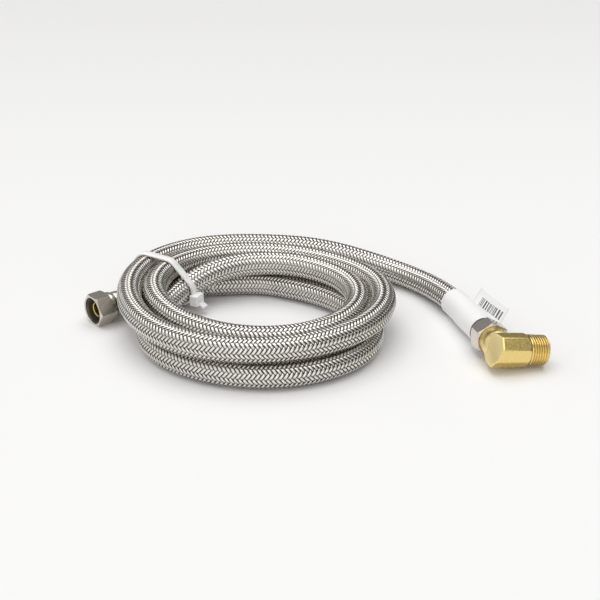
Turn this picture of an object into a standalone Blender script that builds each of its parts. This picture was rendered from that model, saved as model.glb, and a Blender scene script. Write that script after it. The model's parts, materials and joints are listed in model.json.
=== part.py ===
"""Braided steel dishwasher inlet hose, coiled and tied with a nylon cable tie.

One end has a nickel-plated swivel nut, the other a brass pipe-thread elbow and a paper label.
Metres, +Z up. The floor is at Z = 0, and the origin is under the middle of the end fittings.
"""

import math

import bmesh
import bpy
import numpy as np
from mathutils import Matrix, Vector

GAP = 0.0003  # running clearance between neighbouring pieces
ROUND = 40  # sides of a turned piece

# The hose and its coil
HOSE_DIAMETER = 0.0140
HOSE_RADIUS = HOSE_DIAMETER / 2
UPPER_COIL_CENTRE = (-0.0302, 0.0190)
UPPER_COIL_RADIUS = 0.0705  # centre line of the outer of its two turns
LOWER_COIL_CENTRE = (-0.0265, 0.0033)
LOWER_COIL_RADIUS = 0.0570
TURN_SPACING = HOSE_DIAMETER - 0.0002  # the two upper turns press into each other a little
LOWER_HEIGHT = HOSE_RADIUS
UPPER_HEIGHT = LOWER_HEIGHT + HOSE_DIAMETER + GAP
COIL_STEPS = 72

# The innermost turn, seen at the far side: bearings (degrees) and radii from the upper coil's centre
INNER_TURN = ((42, 0.0423), (60, 0.0422), (78, 0.0416), (95, 0.0408), (112, 0.0408), (128, 0.0422))

# The uncoiled stretches: points chosen along the hose as it lies, from each sleeve to the coil
TAIL_POINTS = (
    (0.0870, 0.0213, 0.0082),
    (0.0798, 0.0413, 0.0079),
    (0.0695, 0.0598, 0.0072),
    (0.0565, 0.0739, 0.0074),
    (0.0415, 0.0823, 0.0096),
    (0.0240, 0.0867, 0.0135),
    (0.0151, 0.0878, 0.0150),
)
LEAD_END = (-0.0916, 0.0445, 0.0080)
TUBE_STEP = 1.2 * HOSE_DIAMETER  # distance between a tube's spline points

# The inlet end: where its open face stands, and the heading that the face looks along
INLET_FACE = (-0.12073, 0.02046)
INLET_HEADING = math.radians(220)

# The elbow: where its two bores meet, and how it leans on its thread
ELBOW_CORNER = (0.1013, -0.0328, 0.0113)
ELBOW_HEADING = math.radians(-75)  # the way the hose points into the elbow
ELBOW_RISE = math.radians(3.5)
ELBOW_ROLL = math.radians(7.3)  # the threaded leg droops to the floor
ELBOW_NUT_TURN = math.radians(36)

# The swivel nuts, one at each end of the hose
NUT_FLATS = 0.0170
NUT_HEX_LENGTH = 0.0096
NUT_LENGTH = 0.0130
NUT_FACE_RADIUS = 0.0083
NUT_SHOULDER_RADIUS = 0.0078
NUT_BORE_RADIUS = 0.0072
NUT_BORE_DEPTH = 0.0089

# The brass insert that each nut turns on
STEM_BORE_RADIUS = 0.0037
NOSE_RADIUS = 0.0044
NOSE_RECESS = 0.0044  # the nose stands this far inside the nut's face
NOSE_LENGTH = 0.0024
FLANGE_THICKNESS = 0.0018
STEM_RADIUS = 0.0050
BARB_DEPTH = 0.0003
BARBS = 4

# The rubber washer round each nose
SEAL_THICKNESS = 0.0018

# The crimped sleeve over each end of the hose
SLEEVE_LENGTH = 0.0130
SLEEVE_RADIUS = HOSE_RADIUS + 0.0001
SLEEVE_WALL = 0.0004
SLEEVE_FRONT = 0.0009

# The brass elbow
ELBOW_FLATS = 0.0170
BOSS_RADIUS = 0.0084
BOSS_BACK = 0.0085  # from the corner to the boss's shoulder at the nut
BOSS_FRONT = 0.0035
NECK_RADIUS = 0.0078
NUT_STANDOFF = 0.0136  # from the corner to the nut's face
SPIGOT_ENTRY = NOSE_RECESS - GAP - 0.0002  # how far the spigot reaches into the nut
HEEL_DISTANCE = 0.0063  # from the corner to the slanted flat that ends the leg at the back
HEEL_TURN = math.radians(11.3)  # that flat looks a little forwards
HEEL_LEAN = math.radians(16.3)  # and a little up
LEG_HEX_LENGTH = 0.0130
LEG_LENGTH = 0.0240
THREAD_RADIUS = 0.0084
THREAD_TAPER = 1 / 32
THREAD_CHAMFER = 0.0008
ELBOW_BORE_RADIUS = 0.0048

# The cable tie, in the upright plane that cuts the coil at this bearing
TIE_BEARING = math.radians(152)
STRAP_WIDTH = 0.0048
STRAP_THICKNESS = 0.0012
TIE_HEAD = (0.0052, 0.0078, 0.0064)  # thickness, width along the coil, height
TIE_HEAD_HEIGHT = 0.0083
TIE_TAIL_LENGTH = 0.0048
TIE_TAIL_DROP = math.radians(30)
CROSSING_TURN = (0.0455, 0.0148)  # radius and height where the inner turn drops under the tie
LEAD_CROSSING = (0.0600, 0.0080)  # the same for the hose on its way to the inlet
LOWER_TURN_SKEW = 0.0007  # the lower turn crosses the strap at a slant

# The paper label, wrapped round the hose with its ends stuck together as a flag
LABEL_LENGTH = 0.0550
PAPER = 0.0002
FLAG_LENGTH = 0.0400  # from the nut towards the coil
FLAG_WIDTHS = (0.0174, 0.0102)  # at the nut and at the coil end: the strip is wound a little askew
FLAG_ROOT = math.radians(-10)  # from level, on the side away from the coil
FLAG_SLOPE = math.radians(62)
FLAG_SPANS = 8
WRAP_SPANS = 3  # along the rest of the label, beyond the flag
LABEL_SIDES = 28


def clear_scene():
    for old in list(bpy.data.objects):
        bpy.data.objects.remove(old, do_unlink=True)


def new_collection(name):
    made = bpy.data.collections.new(name)
    bpy.context.scene.collection.children.link(made)
    return made


def new_material(name, colour, roughness, metallic):
    made = bpy.data.materials.new(name)
    made.use_nodes = True
    shader = made.node_tree.nodes["Principled BSDF"]
    shader.inputs["Base Color"].default_value = (*colour, 1)
    shader.inputs["Roughness"].default_value = roughness
    shader.inputs["Metallic"].default_value = metallic
    return made


clear_scene()
PARTS = new_collection("dishwasher_inlet_hose")
CUTTERS = new_collection("cutters")
BRAID = new_material("steel_braid", (0.60, 0.60, 0.58), 0.35, 1.0)
NICKEL = new_material("nickel_plate", (0.62, 0.59, 0.55), 0.25, 1.0)
BRASS = new_material("brass", (0.83, 0.62, 0.26), 0.25, 1.0)
RUBBER = new_material("black_rubber", (0.03, 0.03, 0.03), 0.6, 0.0)
NYLON = new_material("white_nylon", (0.88, 0.88, 0.86), 0.4, 0.0)
PAPER_WHITE = new_material("label_paper", (0.90, 0.90, 0.89), 0.6, 0.0)


def add_mesh(name, mesh, collection, material=None, parent=None):
    made = bpy.data.objects.new(name, mesh)
    collection.objects.link(made)
    made.parent = parent
    if material:
        mesh.materials.append(material)
    if collection is CUTTERS:
        made.hide_render = True
        made.display_type = "WIRE"
    return made


def turned(name, profile, collection, material=None, parent=None, steps=ROUND, closed=False):
    """A solid turned round local Z. The profile of (radius, height) runs down its outer side."""
    mesh = bpy.data.meshes.new(name)
    edges = [(i, i + 1) for i in range(len(profile) - 1)]
    if closed:
        edges.append((len(profile) - 1, 0))
    mesh.from_pydata([(radius, 0, height) for radius, height in profile], edges, [])
    made = add_mesh(name, mesh, collection, material, parent)
    screw = made.modifiers.new("turn", "SCREW")
    screw.steps = screw.render_steps = steps
    screw.use_merge_vertices = True
    screw.merge_threshold = 1e-6
    return made


def prism(name, sides, flats, bottom, top, collection, parent=None):
    """A prism along local Z, with a pair of its flats square to local X."""
    mesh = bpy.data.meshes.new(name)
    shape = bmesh.new()
    radius = flats / 2 / math.cos(math.pi / sides)
    bmesh.ops.create_cone(
        shape, cap_ends=True, segments=sides, radius1=radius, radius2=radius, depth=top - bottom
    )
    turn = Matrix.Rotation(math.pi / sides + math.pi / 2, 3, "Z")
    bmesh.ops.rotate(shape, verts=shape.verts, matrix=turn)
    bmesh.ops.translate(shape, verts=shape.verts, vec=(0, 0, (top + bottom) / 2))
    shape.to_mesh(mesh)
    shape.free()
    return add_mesh(name, mesh, collection, parent=parent)


def boolean(body, operation, other):
    step = body.modifiers.new(operation.lower(), "BOOLEAN")
    step.operation = operation
    step.object = other


def frame(name, x, y, z, origin):
    """An empty whose local axes are these three directions."""
    made = bpy.data.objects.new(name, None)
    PARTS.objects.link(made)
    turn = Matrix((x, y, z)).transposed().to_4x4()
    made.matrix_world = Matrix.Translation(origin) @ turn
    return made


def smooth_curve(points, count):
    """Points along the natural cubic spline through the given ones."""
    given = np.array(points, float)
    along = np.concatenate([[0], np.cumsum(np.linalg.norm(np.diff(given, axis=0), axis=1))])
    span = np.diff(along)
    last = len(along) - 1
    system = np.zeros((last + 1, last + 1))
    right = np.zeros((last + 1, 3))
    system[0, 0] = system[last, last] = 1
    for i in range(1, last):
        system[i, i - 1 : i + 2] = span[i - 1], 2 * (span[i - 1] + span[i]), span[i]
        right[i] = 6 * ((given[i + 1] - given[i]) / span[i] - (given[i] - given[i - 1]) / span[i - 1])
    bend = np.linalg.solve(system, right)
    place = np.linspace(0, along[-1], count)
    piece = np.clip(np.searchsorted(along, place, side="right") - 1, 0, last - 1)
    before = (place - along[piece])[:, None]
    after = (along[piece + 1] - place)[:, None]
    wide = span[piece][:, None]
    return (
        (bend[piece] * after**3 + bend[piece + 1] * before**3) / (6 * wide)
        + (given[piece] / wide - bend[piece] * wide / 6) * after
        + (given[piece + 1] / wide - bend[piece + 1] * wide / 6) * before
    )


def tube(name, line, start=0.0):
    """A plain hose: a curve with a round bevel along the line, from this far along it."""
    along = distances(line)
    count = max(4, round((along[-1] - start) / TUBE_STEP) + 1)
    places = np.linspace(start, along[-1], count)
    points = [[float(np.interp(place, along, line[:, axis])) for axis in range(3)] for place in places]
    curve = bpy.data.curves.new(name, "CURVE")
    curve.dimensions = "3D"
    curve.bevel_depth = HOSE_RADIUS
    curve.bevel_resolution = 4
    curve.use_fill_caps = True
    spline = curve.splines.new("POLY")
    spline.points.add(count - 1)
    for point, place in zip(spline.points, points):
        point.co = (*place, 1)
    curve.materials.append(BRAID)
    made = bpy.data.objects.new(name, curve)
    PARTS.objects.link(made)
    return made


# The frames of the two ends: local Z looks out of each nut's open face
INLET_OUT = Vector((math.cos(INLET_HEADING), math.sin(INLET_HEADING), 0))
UP = Vector((0, 0, 1))
INLET_ORIGIN = Vector((*INLET_FACE, NUT_FLATS / 2))
INLET_FRAME = frame("inlet_end", UP, INLET_OUT.cross(UP), INLET_OUT, INLET_ORIGIN)

ELBOW_IN = Vector(
    (
        math.cos(ELBOW_HEADING) * math.cos(ELBOW_RISE),
        math.sin(ELBOW_HEADING) * math.cos(ELBOW_RISE),
        math.sin(ELBOW_RISE),
    )
)
LEVEL_LEG = Vector((-math.sin(ELBOW_HEADING), math.cos(ELBOW_HEADING), 0))
LEVEL_UP = ELBOW_IN.cross(LEVEL_LEG)
LEG = math.cos(ELBOW_ROLL) * LEVEL_LEG - math.sin(ELBOW_ROLL) * LEVEL_UP
ELBOW_UP = ELBOW_IN.cross(LEG)
ELBOW_ORIGIN = Vector(ELBOW_CORNER)
ELBOW_FRAME = frame("elbow_end", ELBOW_UP, -LEG, ELBOW_IN, ELBOW_ORIGIN)

SLEEVE_START = -NUT_LENGTH - GAP
SLEEVE_END = SLEEVE_START - SLEEVE_LENGTH
HOSE_START = SLEEVE_END - GAP


def coupling_frame(name, parent, height, turn=0.0):
    made = bpy.data.objects.new(name, None)
    PARTS.objects.link(made)
    made.parent = parent
    made.location = (0, 0, height)
    made.rotation_euler = (0, 0, turn)
    return made


def swivel_nut(name, parent):
    """A hexagon nut, turned to a round shoulder at the back and bored for its thread."""
    corner = NUT_FLATS / 2 / math.cos(math.pi / 6)
    chamfer = (corner - NUT_FACE_RADIUS) * math.tan(math.radians(30))
    shoulder_round = 0.0010
    envelope = [
        (0, 0),
        (NUT_FACE_RADIUS, 0),
        (corner, -chamfer),
        (corner, -NUT_HEX_LENGTH + chamfer),
        (NUT_FACE_RADIUS, -NUT_HEX_LENGTH),
        (NUT_SHOULDER_RADIUS, -NUT_HEX_LENGTH),
        (NUT_SHOULDER_RADIUS, -NUT_LENGTH + shoulder_round),
        (NUT_SHOULDER_RADIUS - 0.3 * shoulder_round, -NUT_LENGTH + 0.3 * shoulder_round),
        (NUT_SHOULDER_RADIUS - shoulder_round, -NUT_LENGTH),
        (0, -NUT_LENGTH),
    ]
    lead_in = 0.0004
    bore = [
        (0, lead_in),
        (NUT_BORE_RADIUS + 2 * lead_in, lead_in),
        (NUT_BORE_RADIUS, -lead_in),
        (NUT_BORE_RADIUS, -NUT_BORE_DEPTH),
        (STEM_RADIUS + GAP, -NUT_BORE_DEPTH),
        (STEM_RADIUS + GAP, -NUT_LENGTH - lead_in),
        (0, -NUT_LENGTH - lead_in),
    ]
    nut = turned(name, envelope, PARTS, NICKEL, parent)
    boolean(nut, "INTERSECT", prism(name + "_hexagon", 6, NUT_FLATS, -2 * NUT_LENGTH, NUT_LENGTH, CUTTERS, parent))
    boolean(nut, "DIFFERENCE", turned(name + "_bore", bore, CUTTERS, None, parent))
    return nut


def insert_stem(name, parent):
    """The brass insert: a nose to seal on, a flange that holds the nut, and barbs in the hose."""
    flange_front = -NOSE_RECESS - NOSE_LENGTH
    flange_back = flange_front - FLANGE_THICKNESS
    flange_radius = NUT_BORE_RADIUS - 2 * GAP
    groove = STEM_RADIUS - BARB_DEPTH
    barb_start = SLEEVE_START - SLEEVE_FRONT - 2 * GAP
    tail_end = SLEEVE_END + 0.0010
    pitch = (barb_start - tail_end) / BARBS
    outer = [
        (NOSE_RADIUS, -NOSE_RECESS),
        (NOSE_RADIUS, flange_front),
        (flange_radius, flange_front),
        (flange_radius, flange_back),
        (STEM_RADIUS, flange_back),
        (STEM_RADIUS, barb_start),
    ]
    for i in range(BARBS):
        outer.append((groove, barb_start - i * pitch))
        outer.append((STEM_RADIUS, barb_start - (i + 0.7) * pitch))
    outer.append((groove, tail_end))
    inner = [(STEM_BORE_RADIUS, tail_end), (STEM_BORE_RADIUS, -NOSE_RECESS)]
    return turned(name, outer + inner, PARTS, BRASS, parent, closed=True)


def cone_washer(name, parent):
    """The rubber washer that sits on the flange round the nose."""
    back = -NOSE_RECESS - NOSE_LENGTH + GAP
    front = back + SEAL_THICKNESS
    outer = NUT_BORE_RADIUS - 3 * GAP
    profile = [
        (NOSE_RADIUS + GAP, front),
        (outer - 0.4 * SEAL_THICKNESS, front),
        (outer, back + 0.4 * SEAL_THICKNESS),
        (outer, back),
        (NOSE_RADIUS + GAP, back),
    ]
    return turned(name, profile, PARTS, RUBBER, parent, closed=True)


def crimped_sleeve(name, parent):
    """A thin steel sleeve, closed in at the nut and pressed in at two rings."""
    inside = SLEEVE_RADIUS - SLEEVE_WALL
    rings = [0.35, 0.65]
    half = 0.0008
    dip = 0.4 * SLEEVE_WALL
    profile = [(STEM_RADIUS + GAP, SLEEVE_START), (SLEEVE_RADIUS - dip, SLEEVE_START)]
    profile.append((SLEEVE_RADIUS, SLEEVE_START - 2 * dip))
    for share in rings:
        middle = SLEEVE_START - share * SLEEVE_LENGTH
        profile += [(SLEEVE_RADIUS, middle + half), (SLEEVE_RADIUS - dip, middle), (SLEEVE_RADIUS, middle - half)]
    profile += [
        (SLEEVE_RADIUS, SLEEVE_END),
        (inside, SLEEVE_END),
        (inside, SLEEVE_START - SLEEVE_FRONT),
        (STEM_RADIUS + GAP, SLEEVE_START - SLEEVE_FRONT),
    ]
    return turned(name, profile, PARTS, NICKEL, parent, closed=True)


def hose_end(name, parent):
    """The end of the rubber hose, squeezed between the barbs and the sleeve."""
    outer = SLEEVE_RADIUS - SLEEVE_WALL - GAP
    inner = STEM_RADIUS + GAP
    front = SLEEVE_START - SLEEVE_FRONT - GAP
    profile = [(inner, front), (outer, front), (outer, SLEEVE_END), (inner, SLEEVE_END)]
    return turned(name, profile, PARTS, RUBBER, parent, closed=True)


def coupling(end, parent, height, nut_turn):
    """The nut, its insert, washer and sleeve, and the hose end in them."""
    fixed = coupling_frame(end + "_coupling", parent, height)
    turning = coupling_frame(end + "_nut_pivot", parent, height, nut_turn)
    swivel_nut(end + "_nut", turning)
    insert_stem(end + "_stem", fixed)
    cone_washer(end + "_cone_washer", fixed)
    crimped_sleeve(end + "_crimp_sleeve", fixed)
    hose_end(end + "_hose_end", fixed)


def elbow():
    """The forged brass elbow: a round boss on the hose's axis and an eight-sided threaded leg."""
    edge = 0.0016
    nut_side = -NUT_STANDOFF + GAP
    boss = [
        (0, BOSS_FRONT),
        (BOSS_RADIUS - edge, BOSS_FRONT),
        (BOSS_RADIUS - 0.3 * edge, BOSS_FRONT - 0.3 * edge),
        (BOSS_RADIUS, BOSS_FRONT - edge),
        (BOSS_RADIUS, -BOSS_BACK + edge / 2),
        (BOSS_RADIUS - edge / 2, -BOSS_BACK),
        (NECK_RADIUS, -BOSS_BACK),
        (NECK_RADIUS, nut_side),
        (NUT_BORE_RADIUS - GAP, nut_side),
        (NUT_BORE_RADIUS - GAP, -NUT_STANDOFF - SPIGOT_ENTRY),
        (0, -NUT_STANDOFF - SPIGOT_ENTRY),
    ]
    body = turned("elbow", boss, PARTS, BRASS, ELBOW_FRAME)
    leg_frame = bpy.data.objects.new("elbow_leg", None)
    PARTS.objects.link(leg_frame)
    leg_frame.parent = ELBOW_FRAME
    leg_frame.rotation_euler = (math.radians(90), 0, 0)  # local Z runs out along the leg
    corner = ELBOW_FLATS / 2 / math.cos(math.pi / 8)
    thread_end = THREAD_RADIUS - THREAD_TAPER * (LEG_LENGTH - LEG_HEX_LENGTH)
    behind = 2 * HEEL_DISTANCE
    leg_profile = [
        (0, LEG_LENGTH),
        (thread_end - THREAD_CHAMFER, LEG_LENGTH),
        (thread_end, LEG_LENGTH - THREAD_CHAMFER),
        (THREAD_RADIUS, LEG_HEX_LENGTH),
        (corner, LEG_HEX_LENGTH - 2 * (corner - THREAD_RADIUS)),
        (corner, -behind),
        (0, -behind),
    ]
    leg = turned("elbow_leg_shape", leg_profile, CUTTERS, None, leg_frame)
    boolean(leg, "INTERSECT", prism("elbow_flats", 8, ELBOW_FLATS, -2 * behind, 2 * LEG_LENGTH, CUTTERS, leg_frame))
    boolean(leg, "DIFFERENCE", elbow_heel())
    boolean(body, "UNION", leg)
    past = 0.0010
    run_in = [(0, ELBOW_BORE_RADIUS), (ELBOW_BORE_RADIUS, ELBOW_BORE_RADIUS)]
    run_in += [(ELBOW_BORE_RADIUS, -NUT_STANDOFF - SPIGOT_ENTRY - past), (0, -NUT_STANDOFF - SPIGOT_ENTRY - past)]
    boolean(body, "DIFFERENCE", turned("elbow_run_in_bore", run_in, CUTTERS, None, ELBOW_FRAME))
    run_out = [(0, LEG_LENGTH + past), (ELBOW_BORE_RADIUS, LEG_LENGTH + past), (ELBOW_BORE_RADIUS, 0), (0, 0)]
    boolean(body, "DIFFERENCE", turned("elbow_run_out_bore", run_out, CUTTERS, None, leg_frame))


def elbow_heel():
    """The block that cuts the leg's back end off at a slant."""
    level = math.cos(HEEL_LEAN)
    outward = Vector((math.sin(HEEL_LEAN), level * math.cos(HEEL_TURN), level * math.sin(HEEL_TURN)))
    size = 4 * ELBOW_FLATS
    mesh = bpy.data.meshes.new("elbow_heel")
    shape = bmesh.new()
    bmesh.ops.create_cube(shape, size=size)
    shape.to_mesh(mesh)
    shape.free()
    block = add_mesh("elbow_heel", mesh, CUTTERS, parent=ELBOW_FRAME)
    block.rotation_mode = "QUATERNION"
    block.rotation_quaternion = outward.to_track_quat("X", "Z")
    block.location = outward * (HEEL_DISTANCE + size / 2)
    return block


def in_elbow(height):
    """The world point on the hose's axis at this height in the elbow's frame."""
    return ELBOW_ORIGIN + height * ELBOW_IN


def in_inlet(height):
    return INLET_ORIGIN + height * INLET_OUT


def tail_line():
    """From the elbow's nut, through the sleeve, along the floor and up beside the coil."""
    nut_back = in_elbow(-NUT_STANDOFF + SLEEVE_START)
    hose_start = in_elbow(-NUT_STANDOFF + HOSE_START)
    straight = in_elbow(-NUT_STANDOFF + HOSE_START - HOSE_DIAMETER / 2)
    return smooth_curve((nut_back, hose_start, straight, *TAIL_POINTS), 600)


def lead_line():
    """From the inlet's sleeve to the coil's lower turn."""
    straight = in_inlet(HOSE_START - HOSE_DIAMETER / 2)
    return smooth_curve((in_inlet(HOSE_START), straight, LEAD_END), 200)


def distances(line):
    return np.concatenate([[0], np.cumsum(np.linalg.norm(np.diff(line, axis=0), axis=1))])


def lobe(centre_radius, height, start, stop, count):
    """Points on a turn's round section, from one angle to the other, going down its outer side."""
    angles = [math.radians(start + (stop - start) * i / (count - 1)) for i in range(count)]
    return [(centre_radius + HOSE_RADIUS * math.cos(a), height + HOSE_RADIUS * math.sin(a)) for a in angles]


def coil():
    """The outer shape of the upper layer, two turns side by side, and of the single lower turn."""
    meet = math.degrees(math.acos(TURN_SPACING / 2 / HOSE_RADIUS))
    outer = lobe(UPPER_COIL_RADIUS, UPPER_HEIGHT, 180 - meet, -180 + meet, 15)
    inner = lobe(UPPER_COIL_RADIUS - TURN_SPACING, UPPER_HEIGHT, -meet, -360 + meet, 15)
    upper = turned("hose_coil_upper", outer[:-1] + inner[:-1], PARTS, BRAID, None, COIL_STEPS, True)
    upper.location = (*UPPER_COIL_CENTRE, 0)
    ring = lobe(LOWER_COIL_RADIUS, LOWER_HEIGHT, 180, -180, 17)
    lower = turned("hose_coil_lower", ring[:-1], PARTS, BRAID, None, COIL_STEPS, True)
    lower.location = (*LOWER_COIL_CENTRE, 0)
    # The upper turns lift over the inlet's sleeve, and the lower turn over the strap of the tie
    room = SLEEVE_RADIUS + GAP
    under = [(0, SLEEVE_START), (room, SLEEVE_START), (room, 2 * SLEEVE_END), (0, 2 * SLEEVE_END)]
    boolean(upper, "DIFFERENCE", turned("sleeve_room", under, CUTTERS, None, INLET_FRAME))
    mesh = bpy.data.meshes.new("strap_room")
    shape = bmesh.new()
    bmesh.ops.create_cube(shape, size=1)
    size = (4 * HOSE_DIAMETER, STRAP_WIDTH + 2 * GAP, 2 * (STRAP_THICKNESS + 2 * GAP))
    bmesh.ops.scale(shape, verts=shape.verts, vec=size)
    shape.to_mesh(mesh)
    shape.free()
    strap_room = add_mesh("strap_room", mesh, CUTTERS)
    radius = UPPER_COIL_RADIUS - 2 * TURN_SPACING
    strap_room.location = (
        UPPER_COIL_CENTRE[0] + radius * math.cos(TIE_BEARING),
        UPPER_COIL_CENTRE[1] + radius * math.sin(TIE_BEARING),
        0,
    )
    strap_room.rotation_euler = (0, 0, TIE_BEARING)
    boolean(lower, "DIFFERENCE", strap_room)


def inner_turn_line():
    """The part of the hose that lies on the lower turn, inside the upper ones."""
    x, y = UPPER_COIL_CENTRE
    stations = [(math.radians(bearing), radius) for bearing, radius in INNER_TURN]
    points = [(x + radius * math.cos(a), y + radius * math.sin(a), UPPER_HEIGHT) for a, radius in stations]
    return smooth_curve(points, 200)


def lower_turn_radius():
    """How far from the upper coil's centre the lower turn crosses the tie's plane."""
    offset = Vector(UPPER_COIL_CENTRE) - Vector(LOWER_COIL_CENTRE)
    ray = Vector((math.cos(TIE_BEARING), math.sin(TIE_BEARING)))
    along = offset.dot(ray)
    return -along + math.sqrt(along**2 - offset.length_squared + LOWER_COIL_RADIUS**2)


def strap_outline(offset, floor):
    """The convex outline, this far outside the hose sections that the tie holds."""
    held = [
        (UPPER_COIL_RADIUS, UPPER_HEIGHT),
        (UPPER_COIL_RADIUS - TURN_SPACING, UPPER_HEIGHT),
        CROSSING_TURN,
        LEAD_CROSSING,
        (lower_turn_radius() - LOWER_TURN_SKEW, LOWER_HEIGHT),
    ]
    radius = HOSE_RADIUS + offset
    sides = 32
    angles = [2 * math.pi * i / sides for i in range(sides)]
    ring = [(x + radius * math.cos(a), max(z + radius * math.sin(a), floor)) for x, z in held for a in angles]
    hull = []
    for points in (sorted(ring), sorted(ring, reverse=True)):
        side = []
        for p in points:
            while len(side) > 1 and (
                (side[-1][0] - side[-2][0]) * (p[1] - side[-2][1])
                - (side[-1][1] - side[-2][1]) * (p[0] - side[-2][0])
            ) <= 1e-12:
                side.pop()
            side.append(p)
        hull += side[:-1]
    return hull


def cable_tie():
    """A one-piece nylon tie: a strap round the turns, its square head and the cut tail."""
    curve = bpy.data.curves.new("strap", "CURVE")
    curve.dimensions = "2D"
    curve.fill_mode = "BOTH"
    curve.extrude = STRAP_WIDTH / 2
    for offset, floor in ((GAP + STRAP_THICKNESS, 0), (GAP, STRAP_THICKNESS)):
        outline = strap_outline(offset, floor)
        spline = curve.splines.new("POLY")
        spline.points.add(len(outline) - 1)
        spline.use_cyclic_u = True
        for point, (x, y) in zip(spline.points, outline):
            point.co = (x, y, 0, 1)
    flat = bpy.data.objects.new("strap", curve)
    PARTS.objects.link(flat)
    graph = bpy.context.evaluated_depsgraph_get()
    mesh = bpy.data.meshes.new_from_object(flat.evaluated_get(graph))
    bpy.data.objects.remove(flat, do_unlink=True)
    shape = bmesh.new()
    shape.from_mesh(mesh)
    bmesh.ops.remove_doubles(shape, verts=shape.verts, dist=1e-6)
    shape.to_mesh(mesh)
    shape.free()
    tie = add_mesh("cable_tie", mesh, PARTS, NYLON)
    across = Vector((math.cos(TIE_BEARING), math.sin(TIE_BEARING), 0))
    turn = Matrix((across, UP, across.cross(UP))).transposed().to_4x4()
    tie.matrix_world = Matrix.Translation((*UPPER_COIL_CENTRE, 0)) @ turn
    inside = lower_turn_radius() - 2 * LOWER_TURN_SKEW - HOSE_RADIUS  # the head's face towards the hose
    head_mesh = bpy.data.meshes.new("tie_head")
    shape = bmesh.new()
    bmesh.ops.create_cube(shape, size=1)
    thickness, width, height = TIE_HEAD
    bmesh.ops.scale(shape, verts=shape.verts, vec=(thickness, height, width))
    bmesh.ops.translate(shape, verts=shape.verts, vec=(inside - thickness / 2, TIE_HEAD_HEIGHT, 0))
    shape.to_mesh(head_mesh)
    shape.free()
    head = add_mesh("tie_head", head_mesh, CUTTERS)
    head.matrix_world = tie.matrix_world
    bevel = head.modifiers.new("edges", "BEVEL")
    bevel.width = 0.0005
    bevel.segments = 2
    boolean(tie, "UNION", head)
    tail_mesh = bpy.data.meshes.new("tie_tail")
    shape = bmesh.new()
    bmesh.ops.create_cube(shape, size=1)
    bmesh.ops.scale(shape, verts=shape.verts, vec=(TIE_TAIL_LENGTH, STRAP_THICKNESS, STRAP_WIDTH * 0.9))
    bmesh.ops.translate(shape, verts=shape.verts, vec=(-TIE_TAIL_LENGTH / 2, 0, 0))
    bmesh.ops.rotate(shape, verts=shape.verts, matrix=Matrix.Rotation(TIE_TAIL_DROP, 3, "Z"))
    root = inside - thickness + STRAP_THICKNESS
    bmesh.ops.translate(shape, verts=shape.verts, vec=(root, TIE_HEAD_HEIGHT - STRAP_THICKNESS, 0))
    shape.to_mesh(tail_mesh)
    shape.free()
    tail = add_mesh("tie_tail", tail_mesh, CUTTERS)
    tail.matrix_world = tie.matrix_world
    boolean(tie, "UNION", tail)


def label():
    """One strip of paper: round the hose, with its two ends stuck together as a flag."""
    line = tail_line()
    along = distances(line)
    radius = SLEEVE_RADIUS + 1.5 * GAP + PAPER / 2
    places = list(np.linspace(0, FLAG_LENGTH, FLAG_SPANS + 1))
    places += list(np.linspace(FLAG_LENGTH, LABEL_LENGTH, WRAP_SPANS + 1))[1:]
    seam = 3 * GAP / radius
    points = []
    starts = []
    for i, place in enumerate(places):
        k = int(np.searchsorted(along, place))
        forward = Vector(line[k + 1] - line[max(k - 1, 0)]).normalized()
        side = UP.cross(forward).normalized()
        above = forward.cross(side)
        middle = Vector(line[k])
        starts.append(len(points))
        for j in range(LABEL_SIDES + 1):
            angle = FLAG_ROOT - seam - (2 * math.pi - seam) * j / LABEL_SIDES
            points.append(middle + radius * (math.cos(angle) * -side + math.sin(angle) * above))
        if i > FLAG_SPANS:
            continue
        wide = FLAG_WIDTHS[0] + (FLAG_WIDTHS[1] - FLAG_WIDTHS[0]) * float(place) / FLAG_LENGTH
        outward = math.cos(FLAG_SLOPE) * -side + math.sin(FLAG_SLOPE) * above
        root = points[-1]
        points += [root + step * wide * outward for step in (0.25, 0.5, 0.75, 1)]
    faces = []
    for i in range(len(places) - 1):
        across = LABEL_SIDES + (4 if i < FLAG_SPANS else 0)
        here, there = starts[i], starts[i + 1]
        faces += [(here + j, here + j + 1, there + j + 1, there + j) for j in range(across)]
    mesh = bpy.data.meshes.new("label")
    mesh.from_pydata(points, [], faces)
    made = add_mesh("label", mesh, PARTS, PAPER_WHITE)
    paper = made.modifiers.new("paper", "SOLIDIFY")
    paper.thickness = PAPER
    paper.offset = 0


coupling("inlet", INLET_FRAME, 0, 0)
coupling("elbow", ELBOW_FRAME, -NUT_STANDOFF, ELBOW_NUT_TURN)
elbow()
tube("hose_tail", tail_line(), SLEEVE_START - HOSE_START)
tube("hose_lead", lead_line())
coil()
tube("hose_inner_turn", inner_turn_line())
cable_tie()
label()

for piece in PARTS.objects:
    if piece.type == "MESH":
        piece.data.shade_smooth()
        piece.data.set_sharp_from_angle(angle=math.radians(35))
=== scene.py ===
"""A braided steel dishwasher inlet hose, coiled and tied, with its two end fittings. Metres, +Z up."""

import json
import math

import bpy
import numpy as np
from mathutils import Matrix, Vector


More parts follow.
